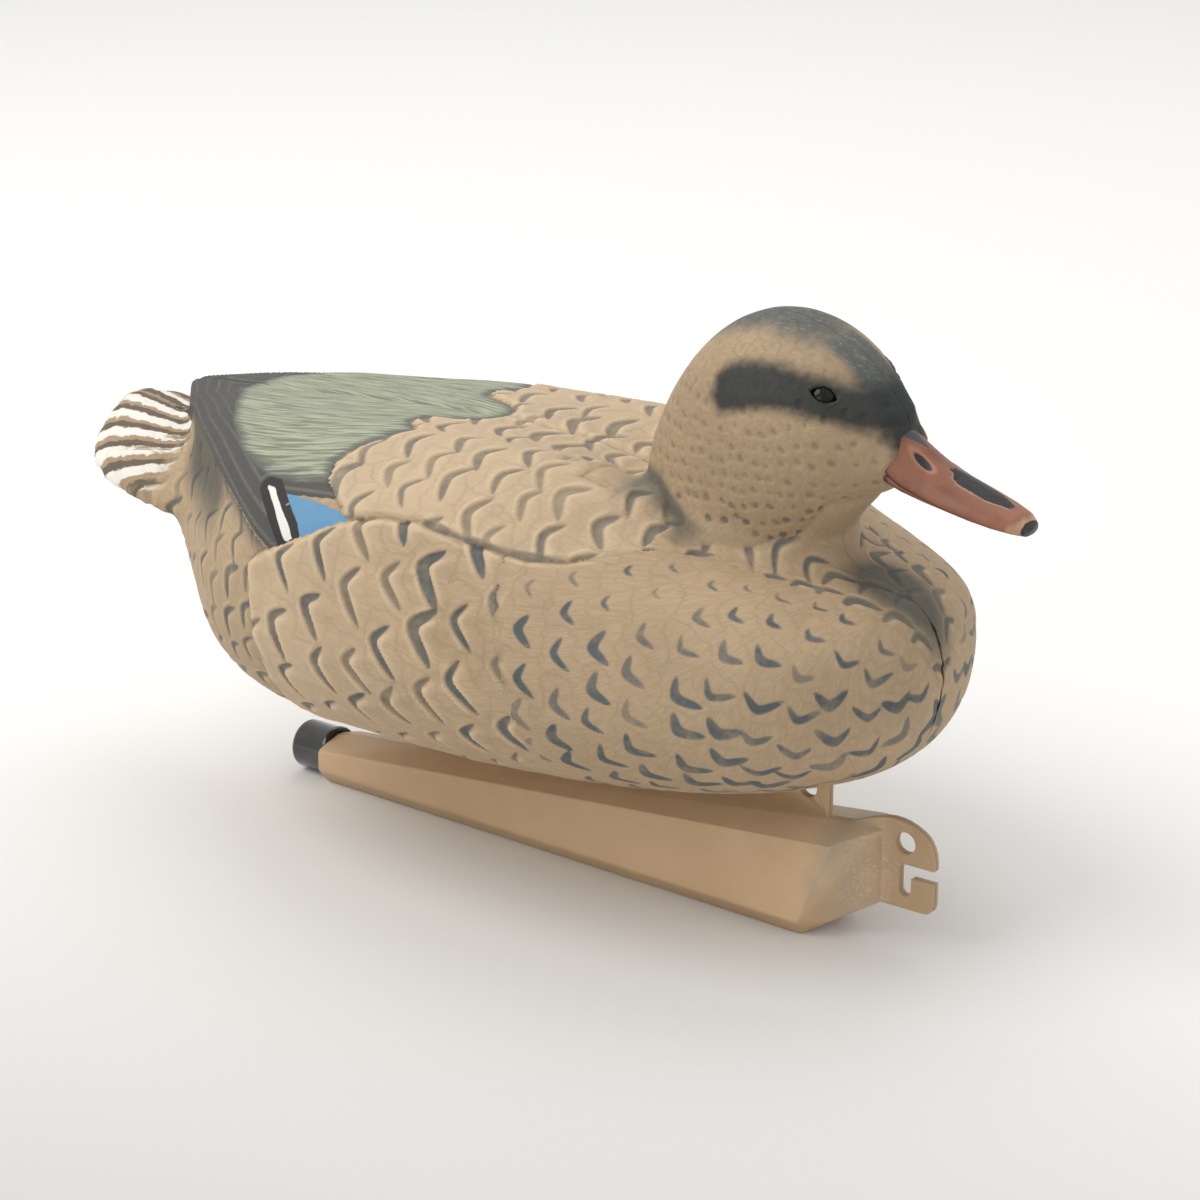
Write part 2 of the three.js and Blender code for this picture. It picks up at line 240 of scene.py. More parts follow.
def makeScuffGroup():
    # pale rubbed specks where the surface stands proud
    tree, given, made = group(
        "rubbed scuffs",
        [("Proud", "NodeSocketFloat", 0.0), ("Amount", "NodeSocketFloat", 0.5)],
        [("Mask", "NodeSocketFloat")],
    )
    where = put(tree, "ShaderNodeTexCoord").outputs["Object"]
    patchy = ramp(tree, noise(tree, where, 60.0, 3.0, 0.6), 0.45, 0.7)
    specks = ramp(tree, noise(tree, where, 900.0, 4.0, 0.7), 0.5, 0.66)
    both = times(tree, times(tree, patchy, specks), given["Proud"])
    tree.links.new(times(tree, both, given["Amount"], True), made["Mask"])


# making and placing pieces
def meshFrom(bm, name):
    mesh = bpy.data.meshes.new(name)
    bm.to_mesh(mesh)
    bm.free()
    return mesh


def relax(bm, factor, rounds):
    for _ in range(rounds):
        bmesh.ops.smooth_vert(bm, verts=bm.verts, factor=factor,
                              use_axis_x=True, use_axis_y=True, use_axis_z=True)


def pieceFrom(name, mesh, body, slotName, look, *nodes):
    piece = bpy.data.objects.new(name, mesh)
    bpy.context.scene.collection.objects.link(piece)
    mesh.materials.clear()
    mesh.materials.append(look)
    mesh.polygons.foreach_set("use_smooth", [True] * len(mesh.polygons))
    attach(piece, body)
    if nodes:
        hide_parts(*nodes)
    return piece


def copyOfNode(node):
    # the CAD mesh as one merged bmesh; the node's own mesh is left alone
    bm = bmesh.new()
    bm.from_mesh(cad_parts[node].data)
    bmesh.ops.remove_doubles(bm, verts=bm.verts, dist=0.002 * mm)
    bm.normal_update()
    return bm


def mirroredMesh(mesh, name):
    other = mesh.copy()
    other.name = name
    bm = bmesh.new()
    bm.from_mesh(other)
    bmesh.ops.scale(bm, vec=(1, -1, 1), verts=bm.verts)
    bmesh.ops.reverse_faces(bm, faces=bm.faces)
    bm.to_mesh(other)
    bm.free()
    return other


def smooth01(x):
    x = np.clip(x, 0, 1)
    return x * x * (3 - 2 * x)


def step(x, low, high):
    return smooth01((x - low) / (high - low))


def eyeCentre(radius):
    # the middle of the right bead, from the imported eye
    low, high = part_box("eye_right")
    return (500 * (low.x + high.x), low.y / mm + radius, 500 * (low.z + high.z))


# casing: the outer skin of body, neck and head, with moulded feathers and painted marks
casing = {
    "voxel": 2.14, "smoothing": 5, "seam": 0.12,
    "eye": eyeCentre(4.4), "beadRadius": 4.4, "stem": 3.5, "forehead": 4.2,
    "faceEdge": [(154, 160, 165, 169, 173, 176), (141.5, 143.6, 145.4, 146.4, 145.2, 143.6)],  # by height
    "eyePatch": 8.2, "lidOpening": (4.4, 2.5),
    "webFront": 120.3, "webRear": -46.3, "webHalf": 1.8, "webTop": 62,
    "crack": {"rear": 150, "low": 72, "high": 122, "width": 0.55},
    "headMiddle": (97, 0, 160), "headRadius": 33,
    "bodyMiddle": 92, "nose": 92,  # ahead of the nose station the rows close round the breast
    "breastRadius": 72, "flankRadius": 78, "rumpRadius": 45, "rayStart": 260,
}


def outerSkin():
    # the outside of the right half shell, closed on the seam plane and mirrored into one form
    bm = copyOfNode("body_shell_right")
    eye = Vector(casing["eye"]) * mm

    def isCut(face):
        c = face.calc_center_median() / mm
        onSeam = abs(face.normal.y) > 0.999 and abs(c.y) < casing["webHalf"] + 0.1
        atEnd = min(abs(c.x - casing["webFront"]), abs(c.x - casing["webRear"])) < 0.1
        inSlot = atEnd and abs(face.normal.x) > 0.99 and c.z < casing["webTop"] and abs(c.y) < 2
        atEye = all((v.co - eye).length < casing["eyePatch"] * mm for v in face.verts)
        return onSeam or inSlot or atEye

    bmesh.ops.delete(bm, geom=[f for f in bm.faces if isCut(f)], context="FACES")
    top = max(bm.verts, key=lambda v: v.co.z)
    kept, queue = {top}, [top]
    while queue:
        for edge in queue.pop().link_edges:
            for v in edge.verts:
                if v not in kept:
                    kept.add(v)
                    queue.append(v)
    bmesh.ops.delete(bm, geom=[v for v in bm.verts if v not in kept], context="VERTS")
    for v in bm.verts:
        if v.is_boundary and abs(v.co.y) < 2.5 * mm:
            v.co.y = 0
    bmesh.ops.remove_doubles(bm, verts=bm.verts, dist=0.01 * mm)
    rim = [e for e in bm.edges if e.is_boundary and max(abs(v.co.y) for v in e.verts) > 0.001 * mm]
    bmesh.ops.holes_fill(bm, edges=rim, sides=0)
    bmesh.ops.mirror(bm, geom=bm.verts[:] + bm.edges[:] + bm.faces[:], axis="Y", merge_dist=0.01 * mm)
    bmesh.ops.holes_fill(bm, edges=[e for e in bm.edges if e.is_boundary], sides=0)
    bmesh.ops.triangulate(bm, faces=bm.faces)
    bmesh.ops.recalc_face_normals(bm, faces=bm.faces)
    return meshFrom(bm, "skin")


def evaluated(piece):
    graph = bpy.context.evaluated_depsgraph_get()
    return bpy.data.meshes.new_from_object(piece.evaluated_get(graph))


def fineHalf(skin):
    # an even mesh of about one millimetre on the right half of the form
    blank = bpy.data.objects.new("blank", skin)
    bpy.context.scene.collection.objects.link(blank)
    remesh = blank.modifiers.new("remesh", "REMESH")
    remesh.mode, remesh.voxel_size, remesh.adaptivity = "VOXEL", casing["voxel"] * mm, 0
    even = evaluated(blank)
    blank.modifiers.clear()
    blank.data = even
    bm = bmesh.new()
    bm.from_mesh(even)
    relax(bm, 0.5, casing["smoothing"])
    bmesh.ops.bisect_plane(bm, geom=bm.verts[:] + bm.edges[:] + bm.faces[:], dist=0.05 * mm,
                           plane_co=(0, 0, 0), plane_no=(0, 1, 0), clear_outer=True)
    for v in bm.verts:
        if v.is_boundary:
            v.co.y = 0
    bmesh.ops.remove_doubles(bm, verts=bm.verts, dist=0.05 * mm)
    bm.to_mesh(even)
    bm.free()
    finer = blank.modifiers.new("finer", "SUBSURF")
    finer.levels = finer.render_levels = 1
    finer.boundary_smooth = "ALL"
    fine = evaluated(blank)
    bpy.data.objects.remove(blank)
    bm = bmesh.new()
    bm.from_mesh(fine)
    eye = Vector(casing["eye"]) * mm
    near = {e for v in bm.verts if (v.co - eye).length < 9 * mm for e in v.link_edges}
    bmesh.ops.subdivide_edges(bm, edges=list(near), cuts=2, use_grid_fill=True, smooth=1.0)
    loose = [v for v in bm.verts if not v.link_faces]
    bmesh.ops.delete(bm, geom=loose, context="VERTS")
    bm.to_mesh(fine)
    bm.free()
    return fine


class Skin:
    # the working arrays of the right half, in millimetres
    def __init__(self, mesh):
        self.mesh = mesh
        count = len(mesh.vertices)
        places = np.zeros(count * 3)
        normals = np.zeros(count * 3)
        mesh.vertices.foreach_get("co", places)
        mesh.vertices.foreach_get("normal", normals)
        self.at = places.reshape(-1, 3) / mm
        self.out = normals.reshape(-1, 3)
        self.x, self.y, self.z = self.at.T
        self.count = count
        self.tree = BVHTree.FromPolygons(
            [Vector(p) for p in self.at], [tuple(p.vertices) for p in mesh.polygons])
        # angle round the body from the middle of the back, and its height of axis
        self.turn = np.degrees(np.arctan2(np.abs(self.y), self.z - axisHeight(self.x)))
        edges = np.zeros(len(mesh.edges) * 2, int)
        mesh.edges.foreach_get("vertices", edges)
        self.edges = edges.reshape(-1, 2)

    def blurred(self, values, rounds):
        a, b = self.edges.T
        degree = np.maximum(np.bincount(self.edges.ravel(), minlength=self.count), 1)
        for _ in range(rounds):
            total = np.bincount(a, values[b], self.count) + np.bincount(b, values[a], self.count)
            values = 0.5 * values + 0.5 * total / degree
        return values

    def store(self, name, values):
        attribute = self.mesh.attributes.new(name, "FLOAT", "POINT")
        attribute.data.foreach_set("value", np.asarray(values, np.float32))


def axisHeight(x):
    # the body's axis rises into the tail
    return 92 + 21 * smooth01((-60 - np.asarray(x, float)) / 110)


def inside(skin, outline, across="turn", scale=1.36):
    # signed distance into a closed outline drawn in x and turn (or height), in millimetres
    px = skin.x
    py = getattr(skin, across) * scale
    corners = [(a, b * scale) for a, b in outline]
    nearest = np.full(skin.count, 1e9)
    within = np.zeros(skin.count, bool)
    for (ax, ay), (bx, by) in zip(corners, corners[1:] + corners[:1]):
        dx, dy = bx - ax, by - ay
        t = np.clip(((px - ax) * dx + (py - ay) * dy) / (dx * dx + dy * dy), 0, 1)
        nearest = np.minimum(nearest, np.hypot(px - ax - t * dx, py - ay - t * dy))
        crosses = (ay > py) != (by > py)
        with np.errstate(divide="ignore", invalid="ignore"):
            within ^= crosses & (px < ax + (py - ay) * dx / (dy if dy else 1e-9))
    return np.where(within, nearest, -nearest)


# outlines of the wing's parts and of the flank, as [x, degrees round from the middle of the back]
shoulderEdge = [(-41, 48), (-39, 42), (-33, 34), (-27, 28), (-36, 21), (-34, 16), (-22, 12), (-15, 8),
                (-13, 4), (-13, -12)]
marks = {
    "sage": [(-128, -12), (-125, 16), (-116, 31), (-105, 42), (-86, 51.5), (-65, 56), (-50, 56), (-37.5, 54),
             *shoulderEdge],
    "wing": [(-175, -12), (-150, 33), (-123, 50), (-95, 59), (-68, 68), (-53, 73), (-44, 75), (-37.5, 72),
             (-39.5, 69), (-46, 64.5), (-54, 59.5), (-40, 58.5), (-24, 57), (-37, 52), (-60, 30), (-60, -12)],
    "white": [(-63, 58), (-59.5, 58), (-51.5, 63), (-45, 67), (-42.5, 70), (-46.5, 70), (-49.5, 67.5),
              (-56, 62.5)],
    "blue": [(-54, 59), (-40, 59), (-27, 60), (-19, 62), (-16, 64.5), (-24, 67), (-40, 73), (-40, 69.5),
             (-46, 64.5)],
    "flank": [(-63, 77), (-59, 75), (-53, 73), (-40, 68.5), (-24, 62.5), (-8, 59.5), (7, 58.5), (31, 60.5),
              (50, 60.5), (61, 59), (71, 55), (82, 48), (100, 42), (200, 30), (200, 185), (-40, 185),
              (-52, 120), (-58, 100), (-62, 86)],
    "scapular": [*shoulderEdge, (62, -12), (72, 24), (80, 38), (80, 50), (70, 56), (61, 59), (50, 60.5),
                 (31, 60.5), (7, 58.5), (-8, 59.5), (-24, 61), (-30, 58), (-38, 54)],
}
# the head's marks as [forward, up] from the middle of the eye
headMarks = {
    "stripe": [(-35, -3), (-34, 4), (-30, 8), (-23, 10), (-13, 10), (-4, 8), (3, 6), (8, 4), (12, 3), (28, 3),
               (32, -20), (25, -18), (20, -14), (16, -10), (13, -9), (7, -7), (-7, -4), (-15, -4), (-24, -6),
               (-30, -8)],
    "crown": [(-56, 7), (-44, 12), (-34, 16), (-23, 18), (-13, 16), (-4, 14), (1, 11), (5, 8), (9, 4),
              (13, 2), (30, 0), (28, 16), (-14, 41), (-58, 31)],
}


def fromEye(outline):
    ex, _, ez = casing["eye"]
    return [(ex + forward, ez + up) for forward, up in outline]


# each set of feathers: spacing, how pointed the tip is, the painted stroke in its groove, and the relief
featherSets = {
    "flank": {"along": 15.5, "across": 20.0, "point": 0.95, "round": 3.6, "stroke": 2.15, "reach": 9.2,
              "inset": 3.2, "groove": 1.0, "rim": 0.42, "pad": 0.75, "lean": 2.0},
    "breast": {"along": 12.5, "across": 13.4, "point": 0.9, "round": 3.0, "stroke": 2.05, "reach": 6.2,
               "inset": 2.6, "groove": 0.16, "rim": 0.05, "pad": 0.12, "lean": 0.7},
    "scapular": {"along": 14.0, "across": 17.0, "point": 0.85, "round": 4.4, "stroke": 1.85, "reach": 8.4,
                 "inset": 2.8, "groove": 0.75, "rim": 0.6, "pad": 0.45, "lean": 1.0},
    "rump": {"along": 12.0, "across": 14.0, "point": 0.95, "round": 3.2, "stroke": 1.5, "reach": 6.8,
             "inset": 2.4, "groove": 0.5, "rim": 0.35, "pad": 0.3, "lean": 0.5},
    "head": {"along": 5.0, "across": 4.2, "point": 0.35, "round": 1.3, "stroke": 1.1, "reach": 1.5,
             "inset": 1.1, "groove": 0.6, "rim": 0.0, "pad": 0.0, "lean": 0.0},
}


def featherPlaces(skin, kind, seed):
    # drifting rows of places on the skin, found by rays towards the body's axis
    shape = featherSets[kind]
    dice = np.random.default_rng(seed)
    places = []
    if kind == "head":
        radius = casing["headRadius"]
        rows = np.arange(12, 165, math.degrees(shape["along"] / radius))
        for k, tilt in enumerate(rows):
            ring = radius * math.sin(math.radians(tilt))
            stepAngle = math.degrees(shape["across"] / max(ring, 3))
            for turn in np.arange(2 + stepAngle * (k % 2) / 2, 179, stepAngle):
                a = math.radians(turn + dice.uniform(-0.22, 0.22) * stepAngle)
                b = math.radians(tilt + dice.uniform(-1.8, 1.8))
                way = Vector((-math.cos(a) * math.sin(b), -math.sin(a) * math.sin(b), math.cos(b)))
                places.append((Vector(casing["headMiddle"]), way))
        return places
    nose, breast = casing["nose"], casing["breastRadius"]
    drift = 0.36 if kind == "flank" else 0.5
    columns = [("ring", t) for t in np.arange(8, 84, math.degrees(shape["along"] / breast))]
    columns += [("slice", x) for x in np.arange(nose, -175, -shape["along"])]
    for k, (form, value) in enumerate(columns):
        reach = breast * math.sin(math.radians(value)) if form == "ring" else casing["flankRadius"]
        if form == "slice" and value < -90:
            reach = casing["rumpRadius"]
        stepAngle = math.degrees(shape["across"] / max(reach, 6))
        for turn in np.arange(stepAngle * (0.2 + (k * drift) % 1), 178, stepAngle):
            a = math.radians(turn + dice.uniform(-0.13, 0.13) * stepAngle)
            shift = dice.uniform(-0.16, 0.16) * shape["along"]
            if form == "ring":
                b = math.radians(value + math.degrees(shift / breast))
                way = Vector((math.cos(b), -math.sin(a) * math.sin(b), math.cos(a) * math.sin(b)))
                places.append((Vector((nose, 0, casing["bodyMiddle"])), way))
            else:
                x = value + shift
                way = Vector((0, -math.sin(a), math.cos(a)))
                places.append((Vector((x, 0, float(axisHeight(x)))), way))
    return places


def flowAt(kind, p, normal):
    # towards the feather's tip, in the skin: rearwards, turned downwards over the breast
    back = Vector((-1, 0, 0))
    if kind == "head":
        back = Vector((-0.62, 0, -0.78)) if p.z < 176 else Vector((-1, 0, -0.15))
        swing = 0
    elif kind == "breast":
        swing = np.interp(p.x, [40, 75, 100, 125, 150], [4, 18, 38, 60, 82])
    elif kind == "flank":
        swing = np.interp(p.x, [-60, -20, 20, 45, 70], [-18, -10, -5, 2, 10])
    elif kind == "rump":
        swing = np.interp(p.x, [-150, -60], [-14, -26])
    else:
        swing = -8
    back = (back - normal * back.dot(normal)).normalized()
    down = normal.cross(back)
    if down.z > 0:
        down = -down
    a = math.radians(float(swing))
    return (back * math.cos(a) + down * math.sin(a)).normalized()


def layFeathers(skin, kind, mask, seed, sizeAt=None):
    # each feather cuts one groove and lifts one pad; every point belongs to its nearest stroke
    shape = featherSets[kind]
    dice = np.random.default_rng(seed + 50)
    laid = {"stroke": np.full(skin.count, 9.0), "along": skin.x * 1.0, "across": skin.turn * 1.3,
            "tone": np.full(skin.count, 0.5)}
    lift, dip = np.zeros(skin.count), np.zeros(skin.count)
    taken = [Vector((0, 0, 0))]
    for start, way in featherPlaces(skin, kind, seed):
        hit, normal, _, _ = skin.tree.ray_cast(start + way * casing["rayStart"], -way)
        if hit is None or (kind != "head" and hit.z > 147 and 45 < hit.x < 150):
            continue
        if normal.dot(way) < 0:
            normal = -normal
        size = (sizeAt(hit) if sizeAt else 1.0) * dice.uniform(0.84, 1.14)
        if min((hit - other).length for other in taken) < 0.62 * shape["along"] * size:
            continue
        taken.append(hit)
        n = np.array(normal)
        turned = dice.uniform(-0.16, 0.16)
        u = np.array(flowAt(kind, hit, normal))
        v = np.cross(n, u)
        if v[2] > 0:
            v = -v
        u, v = u * math.cos(turned) + v * math.sin(turned), v * math.cos(turned) - u * math.sin(turned)
        bend, lean, tone = dice.uniform(-1, 1), dice.uniform(0.5, 1.5), dice.uniform(0, 1)
        thick = shape["stroke"] * size * dice.uniform(0.7, 1.15)
        away = skin.at - np.array(hit)
        near = np.where((np.abs(away).max(1) < 1.7 * shape["across"] * size) & mask)[0]
        if len(near) == 0:
            continue
        d = away[near]
        a, b, h = d @ u, d @ v, d @ n
        bow = np.sqrt(b * b + (shape["round"] * size) ** 2)
        slope = shape["point"] * (1 + 0.15 * bend)
        e = (3 * size - a - slope * (bow - shape["round"] * size)) / np.sqrt(1 + (slope * b / bow) ** 2)
        span = shape["reach"] * size
        aside = (b - shape["lean"] * lean * size) / span
        taper = np.clip(1 - aside ** 2, 0, 1) ** 0.55
        inner = e - shape["inset"] * size
        s = np.abs(inner) - thick * (taper * 1.1 - 0.1)
        s = np.where(np.abs(aside) > 1, np.maximum(s, (np.abs(aside) - 1) * span), s)
        flat = np.abs(h) < 9
        # thin rim outside the groove, pointed pad inside it
        rim = shape["rim"] * np.exp(-((inner + thick + 0.8) / 0.75) ** 2) * taper
        pad = shape["pad"] * step(inner, thick - 0.5, thick + 1.1)
        pad *= 1 - step(inner, thick + 2.5, thick + 11)
        lift[near] = np.maximum(lift[near], (rim + pad * taper) * flat)
        dip[near] = np.maximum(dip[near], shape["groove"] * size * step(-s, -0.75, 0.95) * flat)
        good = (s < laid["stroke"][near]) & flat
        chosen = near[good]
        for name, values in (("stroke", s), ("along", a + 37 * bend), ("across", b + 53 * tone)):
            laid[name][chosen] = values[good]
        laid["tone"][chosen] = tone
    laid["height"] = lift - dip
    return laid


def dressCasing(mesh):
    skin = Skin(mesh)
    neckLine = neckCrease(skin)
    head = neckLine > 0
    flank = inside(skin, marks["flank"])
    scapular = inside(skin, marks["scapular"])
    sage = inside(skin, marks["sage"])
    wing = inside(skin, marks["wing"])
    white = inside(skin, marks["white"])
    blue = inside(skin, marks["blue"])
    isFlank = (flank > 0) & ~head
    isScapular = (scapular > 0) & ~isFlank & ~head
    isWing = ((sage > 0) | (wing > 0) | (blue > 0)) & ~isFlank & ~isScapular
    isWing &= skin.z > wingUnderside(skin)
    isRump = ~(isFlank | isScapular | isWing | head)

    fieldOf = {"stroke": np.full(skin.count, 9.0), "along": skin.x.copy(), "across": skin.turn * 1.3,
               "tone": np.full(skin.count, 0.5)}
    height = np.zeros(skin.count)
    ink = np.zeros(skin.count)

    def lay(kind, mask, seed, weight, share=None, sizeAt=None):
        laid = layFeathers(skin, kind, mask, seed, sizeAt)
        if share is None:
            share = mask.astype(float)
        chosen = mask & (share > 0.5)
        for name, values in fieldOf.items():
            values[chosen] = laid[name][chosen]
        strength = weight * (0.5 + 0.5 * step(laid["tone"], 0.0, 0.4))
        ink[chosen] = strength[chosen]
        height[:] += laid["height"] * share * mask

    frontShare = step(skin.x + 0.25 * (skin.z - 92), 42, 60)
    lay("flank", isFlank, 3, 0.95, 1 - frontShare, flankSize)
    lay("breast", isFlank, 8, 1.0, frontShare, breastSize)
    lay("scapular", isScapular, 12, 0.7)
    lay("rump", isRump, 17, 0.85)
    lay("head", head, 23, 0.2 + 0.6 * (1 - step(skin.z, 142, 156)))
    print("feathers laid on", skin.count, "points")

    # the belly is nearly smooth, and the dimples fade out on brow and crown
    height *= np.where(head, 1 - 0.75 * step(skin.z, 182, 194), step(skin.z, 44, 62))

    # folded wing: long ridges on the flight feathers, barbs are left to the paint
    primaries = wingRidges(skin)
    bare = isWing & (sage < 0) & (blue < 0)
    height += np.where(bare, primaries, 0)
    height += np.where(isWing & (sage > 0), sageRidges(skin), 0)
    for field, lip, spread in ((flank, 1.5, 13), (scapular, 1.2, 10)):
        rear = 1 - step(skin.x, 55, 85)
        raised = lip * step(field, 0, 2.4) * np.exp(-np.maximum(field, 0) / spread)
        sunk = -0.6 * np.exp(-np.maximum(-field, 0) / 2.2) * (field < 0)
        height += (raised + sunk) * rear * ~head
    height += np.where(isWing, 0.8 * step(sage, 0, 2) * np.exp(-np.maximum(sage, 0) / 12), 0)
    # slate paint lies in the groove over the flank
    trough = np.abs(flank + 0.5) - 1.1 + 2.5 * step(np.abs(skin.x - 34), 22, 38) + 0.5 * np.sin(skin.x * 0.35)
    trough = np.where(head, 9, trough)
    ink = np.where(trough < fieldOf["stroke"], 0.65, ink)
    fieldOf["stroke"] = np.minimum(fieldOf["stroke"], trough)

    # groove between the wings, tail fan, neck crease
    onBack = step(skin.z, 132, 137) * (1 - step(skin.x, 40, 60))
    height -= 1.1 * np.exp(-(skin.y / 1.5) ** 2) * onBack * ~head
    tailShare = step(-skin.x, 146, 156) * ~isWing
    fanTurn, fanEdge = tailFan(skin)
    height = height * (1 - tailShare) + tailShare * (0.5 * fanEdge)
    height -= 0.9 * np.exp(-(neckLine / 2.0) ** 2)
    height = height * edgeCalm(skin)

    moved = skin.at + skin.out * height[:, None]
    moved[:, 0] += casing["forehead"] * foreheadShare(skin)
    moved = shapeEye(skin, moved)
    moved = tuckBill(skin, moved)
    seam = skin.y > -0.02
    crack = casing["crack"]
    open01 = step(skin.x, crack["rear"], crack["rear"] + 4) * step(skin.z, crack["low"], crack["low"] + 8)
    open01 *= 1 - step(skin.z, crack["high"] - 10, crack["high"])
    wobble = 0.75 + 0.25 * np.sin(skin.z * 0.9) * np.sin(skin.z * 0.37 + 1)
    moved[seam, 1] = -casing["seam"] - crack["width"] * (open01 * wobble)[seam]
    mesh.vertices.foreach_set("co", (moved * mm).ravel())
    mesh.update()

    # paint
    for name, values in fieldOf.items():
        skin.store(name, values)
    skin.store("ink", ink)
    rearFlank = 0.8 * (1 - step(skin.x, -55, 30)) * isFlank
    skin.store("pale", np.where(isScapular, 1 - 0.5 * step(skin.x, -60, 60), rearFlank))
    skin.store("sage", np.where(isWing, sage, np.minimum(sage, -1)))
    skin.store("wing", np.where(isWing, wing, np.minimum(wing, -1)))
    skin.store("white", np.where(isWing, white, -5))
    skin.store("blue", np.where(isWing, blue, -5))
    stripe = inside(skin, fromEye(headMarks["stripe"]), "z", 1.0)
    crown = inside(skin, fromEye(headMarks["crown"]), "z", 1.0)
    band = np.minimum(9.5 - np.abs(skin.y), 0.6 * (skin.x - 116))
    crown = np.maximum(crown, np.where(skin.z > 176, band, -20))
    skin.store("stripe", np.where(head, stripe, -20))
    skin.store("crown", np.where(head, crown, -20))
    skin.store("onHead", step(neckLine, -2, 5))
    skin.store("cavity", height - skin.blurred(height, 12))
    skin.store("fan", fanTurn)
    skin.store("tail", np.where(isWing, 0, -skin.x))
    skin.store("turn", skin.turn)
    skin.store("airbrushAndShade", airbrushAndShade(skin, head, neckLine, wing, isRump))
    skin.store("ridge", primaries)
    return skin


def flankSize(p):
    return float(np.interp(p.z, [48, 70, 100, 122], [0.62, 0.85, 1.0, 0.95]))


def breastSize(p):
    nearNeck = np.interp(p.z, [100, 115, 126], [1.0, 0.75, 0.42])
    ahead = np.interp(p.z, [92, 118], [1.0, 0.6])
    return float(nearNeck if p.x < 135 else min(nearNeck, ahead))


def neckCrease(skin):
    # signed height above the line where the neck stands on the body
    line = np.interp(skin.x, [40, 52, 62, 70, 84, 93, 105, 118, 127, 160],
                     [148, 147, 150, 149, 139, 136, 135, 139, 150, 152])
    inner = skin.z - line
    sideways = 37.5 - np.abs(skin.y)
    ahead = 152 - skin.x
    behind = skin.x - 47
    return np.minimum.reduce(
        [inner, sideways * 1.2, ahead + 20 * (skin.z > 146), behind + 12 * (skin.z > 152)])


def wingUnderside(skin):
    return np.interp(skin.x, [-165, -150, -120, -90, -60, -40], [126, 127, 124, 120, 114, 100])


def wingRidges(skin):
    # thin quills that run with the wing's rear edge and get closer towards it
    edge = inside(skin, marks["wing"])
    spread = edge + 0.03 * (skin.x + 60)
    return 0.4 * np.abs(np.sin(np.clip(spread, 0, 40) * math.pi / 5.4)) ** 8


def sageRidges(skin):
    # the long shafts of the tertial feathers
    shaft = skin.turn - np.interp(skin.x, [-129, -40], [14, 44])
    other = skin.turn - np.interp(skin.x, [-120, -20], [4, 16])
    return 0.35 * np.exp(-(shaft / 1.3) ** 2) + 0.3 * np.exp(-(other / 1.2) ** 2)


def tailFan(skin):
    # the fan's quills spread from a point under the rump
    turn = np.degrees(np.arctan2(np.abs(skin.y), -(skin.x + 96)))
    count = turn / 6.4
    edge = np.abs((count % 1) - 0.5) * 2
    return count, 1 - edge ** 2


def edgeCalm(skin):
    # no relief where the halves meet the bill
    return 1 - step(skin.x, 141, 145) * step(skin.z, 148, 152)


def shapeEye(skin, moved):
    # lids lie close over the bead, in the face's own slope; the opening drops behind it
    eye = np.array(casing["eye"])
    bead = casing["beadRadius"]
    halfLong, halfHigh = casing["lidOpening"]
    away = moved - eye
    close = np.linalg.norm(away, axis=1) < 13
    outward = skin.out[close & (skin.y < 0)].mean(0)
    outward /= np.linalg.norm(outward)
    front = np.array([1.0, 0, 0]) - outward * outward[0]
    front /= np.linalg.norm(front)
    up = np.cross(front, outward)
    up *= math.copysign(1, up[2])
    a, b, h = away @ front, away @ up, away @ outward
    r = np.hypot(a, b)
    near = (r < 9) & (h > 0) & (skin.y < 0)
    almond = np.abs(b - 0.05 * a) - halfHigh * (1 - np.clip(np.abs(a) / halfLong, 0, 2) ** 2)
    share = 1 - step(r, 4.0, 7.5)
    lid = np.where(r < bead + 0.5, np.maximum(h, np.sqrt(np.maximum((bead + 0.5) ** 2 - r ** 2, 0))), h)
    raised = (lid - h) * share + 0.3 * np.exp(-((almond - 1.3) / 0.6) ** 2) * share
    sunk = np.minimum(np.sqrt(np.maximum((bead - 0.9) ** 2 - r ** 2, 0)), h) - h
    shift = np.where(near, np.where(almond < 0, sunk, raised), 0)
    return moved + outward * shift[:, None]


def foreheadShare(skin):
    # the middle of the forehead stands forward over the bill
    middle = 1 - step(np.abs(skin.y), 4, 15)
    return middle * step(skin.x, 108, 130) * step(skin.z, 173, 180) * (1 - step(skin.z, 196, 204))


def tuckBill(skin, moved):
    # the casing's own bill draws in under the finer bill
    rows = np.array(bill["stations"])
    middle = np.interp(skin.x, rows[:, 0], 0.5 * (rows[:, 1] + rows[:, 2]))
    face = np.interp(skin.z, *casing["faceEdge"])
    share = step(skin.x, face - 1, face + 2.5) * step(skin.z, 146, 150)
    moved[:, 1] *= 1 - 0.5 * share
    moved[:, 2] -= (moved[:, 2] - middle) * 0.45 * share
    moved[:, 0] -= np.maximum(moved[:, 0] - 180, 0) * share * 0.7
    return moved


def airbrushAndShade(skin, head, neckLine, wing, isRump):
    # soft dark airbrushed paint down the middle of the upper breast and on the rump, and painted shade round
    # the neck's foot and beside the wing's rear edge
    p = skin.at
    patch = np.exp(-(((p[:, 0] - 140) / 17) ** 2 + (p[:, 1] / 14) ** 2 + ((p[:, 2] - 121) / 12) ** 2))
    low = np.exp(-(((p[:, 0] - 153) / 10) ** 2 + (p[:, 1] / 9) ** 2 + ((p[:, 2] - 106) / 13) ** 2))
    # painted shade in the crease round the neck's foot
    footShade = 0.7 * np.exp(-(neckLine / 4.5) ** 2) * step(skin.x, 54, 64) * (1 - step(skin.x, 78, 104))
    rump = 0.85 * step(-skin.x, 80, 100) * (1 - step(-skin.x, 126, 148)) * (1 - step(skin.turn, 60, 96))
    # painted shade on the rump beside the wing's overhanging rear edge
    wingShade = 0.75 * np.exp(-np.maximum(-wing, 0) / 5.5) * isRump * step(-skin.x, 40, 60)
    return np.clip(1.1 * patch + 0.7 * low + footShade + np.maximum(rump * ~head, wingShade), 0, 1)


